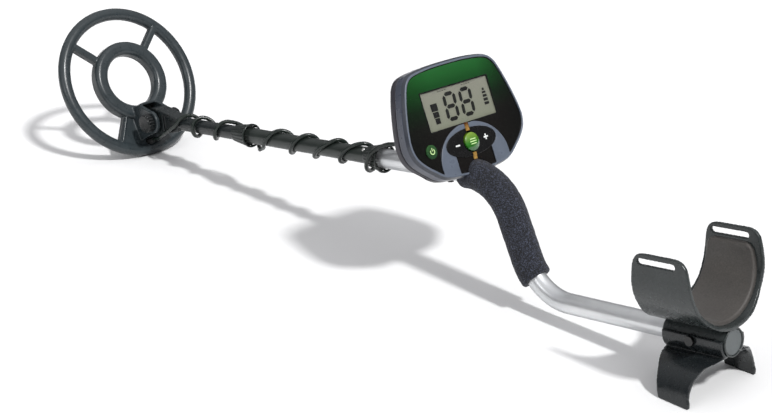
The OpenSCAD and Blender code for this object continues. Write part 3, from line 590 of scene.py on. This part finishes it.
def winding(rows):
    """Points of a winding through its rows, close enough for a round turn."""
    last = len(rows) - 1
    out = []
    for i in range(last):
        a, b, c, d = (Vector(rows[min(max(k, 0), last)]) for k in (i - 1, i, i + 1, i + 2))
        n = max(2, math.ceil(max(abs(c[1] - b[1]) * 30, abs(c[0] - b[0]) / 7)))
        out += [catmull(a, b, c, d, k / n) for k in range(n)]
    out.append(rows[-1])
    return [S(x, r * math.cos(TURN * t), r * math.sin(TURN * t)) for x, t, r in out]


def smooth_path(pts, n):
    last = len(pts) - 1
    out = []
    for i in range(last):
        a, b, c, d = (pts[min(max(k, 0), last)] for k in (i - 1, i, i + 1, i + 2))
        out += [catmull(a, b, c, d, k / n) for k in range(n)]
    return out + [pts[-1]]


def gland_exit(up):
    """Cable's axis over the gland, leaning back towards the stem above 14 mm."""
    return C(GLAND[0] - 0.01 * max(up - 14, 0) ** 2, GLAND[1], GLAND[2] + up)


def cable_piece(name, pts, node):
    o = tube(name, pts, CABLE_R, "cable")
    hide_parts(node)
    return o


turns = winding(LEAD)
lead_pts = smooth_path([gland_exit(h) for h in (0, 8, 16, 20)] + turns[::3][:-1] + turns[-1:], 3)
lead = cable_piece("coil_lead", lead_pts, "cable_coil_lead")
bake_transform(lead)
wraps = cable_piece("stem_wraps", winding(STEM), "cable_stem_wraps")
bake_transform(wraps)
turns = winding(TUBE)
runs = cable_piece("tube_wraps", turns[:-1] + smooth_path([turns[-1]] + [S(*p) for p in TAIL], 4),
                   "cable_tube_wraps")
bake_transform(runs)


# ---- foam grip ---------------------------------------------------------------
GRIP_R, TUBE_CLEAR_R, GRIP_EDGE = 17, 11.2, 2.2
GRIP_LEAD_IN = math.radians(22)  # how much of the lower bend the sleeve covers
GRIP_END = 340  # where it ends on the front run

bend_tan = BEND_R * math.tan(GRIP_ANGLE / 2)
straight = RISE / math.sin(GRIP_ANGLE) - 2 * bend_tan
upper_end = REAR + 2 * bend_tan + RISE / math.tan(GRIP_ANGLE)
grip_length = BEND_R * (GRIP_LEAD_IN + GRIP_ANGLE) + straight + (GRIP_END - upper_end)


def rod_point(t):
    """Place (x, z) on the tube's centre line, t millimetres from the sleeve's lower end."""
    c, s = math.cos(GRIP_ANGLE), math.sin(GRIP_ANGLE)
    first, second = BEND_R * GRIP_LEAD_IN, BEND_R * GRIP_ANGLE
    if t < first:
        a = GRIP_ANGLE - GRIP_LEAD_IN + t / BEND_R
        return (REAR + BEND_R * math.sin(a), BEND_R - BEND_R * math.cos(a))
    t -= first
    if t < straight:
        return (REAR + BEND_R * s + t * c, BEND_R * (1 - c) + t * s)
    t -= straight
    if t < second:
        a = GRIP_ANGLE - t / BEND_R
        return (upper_end - BEND_R * math.sin(a), RISE - BEND_R + BEND_R * math.cos(a))
    return (upper_end + t - second, RISE)


def grip():
    """Foam sleeve with rolled ends and a slightly uneven skin."""
    steps, sides = 90, 56
    # one row starts at the tube, then seven go round the rolled end
    ts, rs = [0.02], [TUBE_CLEAR_R]
    for k in range(7):
        a = math.pi / 2 * k / 6
        ts.append(GRIP_EDGE * (1 - math.cos(a)) if k else 0.02)
        rs.append(GRIP_R - GRIP_EDGE + GRIP_EDGE * math.sin(a))
    end_t, end_r = [grip_length - t for t in ts[::-1]], rs[::-1]
    for k in range(1, steps):
        ts.append(GRIP_EDGE + (grip_length - 2 * GRIP_EDGE) * k / steps)
        rs.append(GRIP_R + 0.12 * math.sin(k * 0.9) * math.sin(k * 0.23 + 1))
    ts += end_t
    rs += end_r
    verts = []
    for t, r in zip(ts, rs):
        x, z = rod_point(t)
        lo, hi = rod_point(max(t - 0.5, 0)), rod_point(min(t + 0.5, grip_length))
        dx, dz = hi[0] - lo[0], hi[1] - lo[1]
        ln = math.hypot(dx, dz)
        nx, nz = -dz / ln, dx / ln
        for k in range(sides):
            out, side = r * math.cos(TURN * k / sides), r * math.sin(TURN * k / sides)
            verts.append(B(x + nx * out, side, z + nz * out))
    o = make("foam_sleeve", verts, skin(len(ts), sides), "foam")
    tex = bpy.data.textures.new("foam_cells", "CLOUDS")
    tex.noise_scale = 0.006
    sub = o.modifiers.new("sub", "SUBSURF")
    sub.levels = sub.render_levels = 1
    d = o.modifiers.new("soft", "DISPLACE")
    d.texture = tex
    d.texture_coords = "LOCAL"
    d.strength = 0.0006
    d.mid_level = 0.6
    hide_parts("foam_grip")
    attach(o, "shaft")


grip()


# ---- arm pad -------------------------------------------------------------------
CUP_R, CUP_MID, CUP_TOP = 55.2, 73.5, 82.0  # cup's inner radius, its centre, end of the lining
PAD_T, PAD_ROLL, PAD_CORNER = 3.7, 3.2, 9.0  # thickness, width of the rolled edge, corner


def arm_pad():
    """Crowned foam sheet that lines the cup, thin and rolled over at its edges."""
    quarter = CUP_R * math.pi / 2
    half = quarter + CUP_TOP - CUP_MID
    nu, nx = 96, 40

    def girth(s, r):
        """Point of the cup's section at arc length s from its bottom, on radius r."""
        sg = 1 if s > 0 else -1
        a = abs(s) / CUP_R
        if abs(s) <= quarter:
            return (sg * r * math.sin(a), CUP_MID - r * math.cos(a))
        return (sg * r, CUP_MID + abs(s) - quarter)

    def ends(s):
        """Front and rear limit of the pad at arc length s, rounded at its upper corners."""
        k = abs(s) / half
        lip = max(0.0, (abs(s) - (half - PAD_CORNER)) / PAD_CORNER)
        cut = 8.0 * (1 - math.sqrt(max(0.0, 1 - lip * lip)))
        return 1.2 + 10.0 * k ** 3 + cut, 68.4 - 4.6 * k ** 3 - cut

    def thickness(x, s, edge):
        e = min(1.0, max(0.0, edge / PAD_ROLL))
        if e < 1:
            return PAD_T * math.sqrt(1 - (1 - e) ** 2)
        return PAD_T + 0.15 * math.sin(x * 0.11) * math.cos(s * 0.05)

    verts, faces = [], []
    for inner in (False, True):
        for i in range(nu + 1):
            s = -half + 2 * half * i / nu
            lo, hi = ends(s)
            for j in range(nx + 1):
                x = lo + (hi - lo) * (j / nx)
                edge = min(x - lo, hi - x, half - abs(s))
                y, z = girth(s, CUP_R - (thickness(x, s, edge) if inner else 0.02))
                verts.append(B(x, y, z))
    row = nx + 1
    size = (nu + 1) * row
    for i in range(nu):
        for j in range(nx):
            a = i * row + j
            b = size + a
            faces += [(a, a + 1, a + row + 1, a + row), (b, b + row, b + row + 1, b + 1)]
    rim = (list(range(nx + 1)) + [i * row + nx for i in range(1, nu + 1)]
           + [nu * row + j for j in range(nx - 1, -1, -1)]
           + [i * row for i in range(nu - 1, 0, -1)])
    for a, b in zip(rim, rim[1:] + rim[:1]):
        faces.append((a, b, b + size, a + size))
    o = make("cup_pad", verts, faces, "pad")
    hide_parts("arm_pad")
    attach(o, "shaft")


arm_pad()

# raised ring moulded round the bolt's head on both sides of the sleeve
SLEEVE_R, BOLT_X, BOLT_RING_R = 15.2, 34, 5.6
for side, side_name in ((-1, "right"), (1, "left")):
    pts = []
    for degrees in range(0, 361, 12):
        along = BOLT_RING_R * math.cos(math.radians(degrees))
        up = BOLT_RING_R * math.sin(math.radians(degrees))
        pts.append(B(BOLT_X + along, side * math.sqrt(SLEEVE_R ** 2 - up ** 2), up))
    ring = tube("bolt_ring_" + side_name, pts, 0.7, "stand", 10, False)
    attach(ring, "shaft")

# ---- panel details ---------------------------------------------------------------
HALF_FACE = [(30, 47.9), (56, 44.5), (66.5, 37.5), (72, 27), (77, 13), (81.5, -3), (84.7, -18),
             (86, -31), (83.2, -43), (76, -52.5), (64, -62.5), (48, -72.5), (24, -76)]
FACE_PTS = [(0, 48.6)] + HALF_FACE + [(0, -77)] + [(-x, y) for x, y in HALF_FACE[::-1]]
FACE_HALF_W, FACE_HALF_H, FACE_MID = 86, 61.3, -12.7


def face_outline(inset):
    """The panel's outline, drawn in towards its middle."""
    pts = [Vector(p) for p in FACE_PTS]
    c = len(pts)
    out = []
    for i in range(c):
        for k in range(6):
            p = catmull(pts[i - 1], pts[i], pts[(i + 1) % c], pts[(i + 2) % c], k / 6)
            out.append((p.x * (FACE_HALF_W - inset) / FACE_HALF_W,
                        FACE_MID + (p.y - FACE_MID) * (FACE_HALF_H - inset) / FACE_HALF_H))
    return out


def on_body(o, body="shaft"):
    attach(o, body)


# the display: a grey-green field right under its window, with numbers and bars
on_body(prism("display_sheet", box(-50.4, -21.4, 50.4, 21.4), -2.6, -1.6, "field"))


def segment(u, v, length, thick, upright, lean=0.07):
    """One slanted bar of a digit, with pointed ends."""
    k, e = thick / 2, length / 2
    pts = [(-e, 0), (-e + k, k), (e - k, k), (e, 0), (e - k, -k), (-e + k, -k)]
    if upright:
        pts = [(0, -e), (k, -e + k), (k, e - k), (0, e), (-k, e - k), (-k, -e + k)]
    return [(u + a + lean * (v + b), v + b) for a, b in pts]


def display():
    thick, wide, high = 4.3, 12.8, 13.6
    shapes = []
    for digit_u in (-10.6, 13.2):
        for v in (high, 0, -high):
            shapes.append(segment(digit_u, v, wide - 0.6, thick, False))
        for v in (high / 2, -high / 2):
            for side in (-1, 1):
                shapes.append(segment(digit_u + side * (wide / 2 + 0.9), v, high - 1.6, thick,
                                      True))
    # stack of bars that widens upwards, left of the digits
    for k, (v0, v1) in enumerate(((-14.5, -8.2), (-7.6, -1.4), (-0.6, 7.6))):
        w = 3.4 + 0.7 * k
        shapes.append(box(-34.5 - w, v0, -34.5 + w, v1))
    # stack of bars that narrows upwards, right of them
    for k, (v0, v1) in enumerate(((-9.5, -6.4), (-5.2, -2.2), (-1.0, 1.8), (3.0, 5.4))):
        w = 3.5 - 0.25 * k
        shapes.append(box(41 - w, v0, 41 + w, v1))
    shapes.append([(39.2, 6.4), (42.8, 6.4), (42.2, 9.0), (39.8, 9.0)])
    # two rows of small dashes under the upper edge
    for start in (-24, 12):
        for k in range(4):
            u0 = start + 3.4 * k
            shapes.append(box(u0, 18.2, u0 + 2.2, 18.9))
    verts, faces = [], []
    for outline in shapes:
        v, f = slab(outline, -1.58, -1.45, len(verts))
        verts += v
        faces += f
    on_body(make("display_segments", verts, faces, "ink", False))


display()
# dark surround of the display and dark line inside the bezel
on_body(ring_strip("display_rim", rounded_box(-51.2, -22.2, 51.2, 22.2, 0.6),
                   rounded_box(-49.9, -20.9, 49.9, 20.9, 0.3), 0.0, 0.12, "black"))
on_body(ring_strip("panel_line", face_outline(3.75), face_outline(4.8), -0.3, 0.14, "black"))

# signs on the minus and plus keys
MARK_LOW, MARK_HIGH = 1.15, 1.45
on_body(prism("minus_mark", rounded_box(-23.6, -43.3, -17.4, -41.6, 0.3),
              MARK_LOW, MARK_HIGH, "white"), "minus_key")
ARM, HALF_ARM = 3.1, 0.85
plus = [(-ARM, -HALF_ARM), (-HALF_ARM, -HALF_ARM), (-HALF_ARM, -ARM), (HALF_ARM, -ARM),
        (HALF_ARM, -HALF_ARM), (ARM, -HALF_ARM), (ARM, HALF_ARM), (HALF_ARM, HALF_ARM),
        (HALF_ARM, ARM), (-HALF_ARM, ARM), (-HALF_ARM, HALF_ARM), (-ARM, HALF_ARM)]
on_body(prism("plus_mark", [(u + 22, v - 42) for u, v in plus], MARK_LOW, MARK_HIGH, "white"),
        "plus_key")


def power_icon():
    """An open ring with a short bar: the usual on-off sign."""
    def arc(r):
        angles = [math.radians(a) for a in range(38, 323, 15)]
        return [(r * math.sin(a) - 58, r * math.cos(a) - 40) for a in angles]

    for name, outline in (("power_ring", arc(3.3) + arc(2.3)[::-1]),
                          ("power_bar", rounded_box(-58.5, -39.6, -57.5, -35.9, 0.2))):
        on_body(prism(name, outline, 2.08, 2.3, "icon"), "power_button")


def menu_bar(number, dv):
    """One raised bar, bent over the menu key's crown; dv is its height on the key."""
    half_w = 4.6 - 0.6 * abs(number - 1)
    crown_r, crown_mid = 24.6, 2.2 - 22
    n = 12
    verts, faces = [], []
    for i in range(n + 1):
        u = -half_w + 2 * half_w * i / n
        for v in (dv - 0.55, dv + 0.55):
            h = crown_mid + math.sqrt(crown_r ** 2 - u * u - v * v)
            verts += [F(u, -42.5 + v, h), F(u, -42.5 + v, h + 0.14)]
    for i in range(n):
        a = 4 * i
        faces += [(a + 1, a + 5, a + 7, a + 3), (a, a + 1, a + 5, a + 4),
                  (a + 2, a + 6, a + 7, a + 3)]
    on_body(make("menu_bar_%d" % number, verts, faces, "icon"), "menu_button")


power_icon()
on_body(prism("gold_tail", rounded_box(-2.5, -57.6, 2.5, -54.0, 0.2), 0.9, 1.3, "gold"))
for number, dv in enumerate((2.6, 0.0, -2.6)):
    menu_bar(number, dv)


# ---- floor and light -----------------------------------------------------------------
def put_floor():
    """Pale floor that lifts to white in the distance."""
    bm = bmesh.new()
    bmesh.ops.create_grid(bm, x_segments=1, y_segments=1, size=12.0)
    me = bpy.data.meshes.new("floor")
    bm.to_mesh(me)
    bm.free()
    o = bpy.data.objects.new("floor", me)
    scene.collection.objects.link(o)
    o.location = (0, 0, -0.0002)
    m = Mat("studio_floor", 0.85, 0.0, Specular_IOR_Level=0.1)
    far = m.add("ShaderNodeVectorMath", operation="LENGTH")
    m.link(m.co, far.inputs[0])
    lift = m.range(far.outputs["Value"], 0.9, 2.2, 0.0, 0.4)
    m.p.inputs["Emission Color"].default_value = (1, 1, 1, 1)
    m.link(lift, m.p.inputs["Emission Strength"])
    m.color(m.ramp(m.noise(1.5, 2), [(0.3, (0.9, 0.9, 0.9, 1)), (0.7, (0.93, 0.93, 0.93, 1))]))
    me.materials.append(m.m)


def put_sky():
    """Dark horizon and bright zenith, for soft highlights on the dark plastic."""
    world = scene.world or bpy.data.worlds.new("world")
    scene.world = world
    world.use_nodes = True
    t = world.node_tree
    bg = t.nodes.get("Background") or t.nodes.new("ShaderNodeBackground")
    up = t.nodes.new("ShaderNodeSeparateXYZ")
    t.links.new(t.nodes.new("ShaderNodeTexCoord").outputs["Generated"], up.inputs[0])
    sky = t.nodes.new("ShaderNodeValToRGB")
    low, high = sky.color_ramp.elements
    low.position, low.color = 0.12, (0.05, 0.05, 0.055, 1)
    high.position, high.color = 0.95, (0.95, 0.95, 0.97, 1)
    t.links.new(up.outputs["Z"], sky.inputs["Fac"])
    t.links.new(sky.outputs["Color"], bg.inputs["Color"])
    bg.inputs["Strength"].default_value = 0.88


def put_lamps():
    """One sun for the long shadows, one long soft box from the side."""
    sun = bpy.data.objects.new("key", bpy.data.lights.new("key", "SUN"))
    sun.data.energy = 2.5
    sun.data.angle = math.radians(5.5)
    aim(sun, (0.64, -0.04, -0.77))
    scene.collection.objects.link(sun)

    panel = bpy.data.lights.new("side", "AREA")
    panel.shape = "RECTANGLE"
    panel.size, panel.size_y = 1.6, 0.35
    panel.energy = 9
    lamp = bpy.data.objects.new("side", panel)
    scene.collection.objects.link(lamp)
    lamp.location = (-0.2, 2.4, 1.3)
    aim(lamp, Vector((0.0, 0.0, 0.1)) - lamp.location)


put_floor()
put_sky()
put_lamps()
scene.view_settings.view_transform = "Standard"
scene.view_settings.look = "None"
scene.view_settings.exposure = 0.0
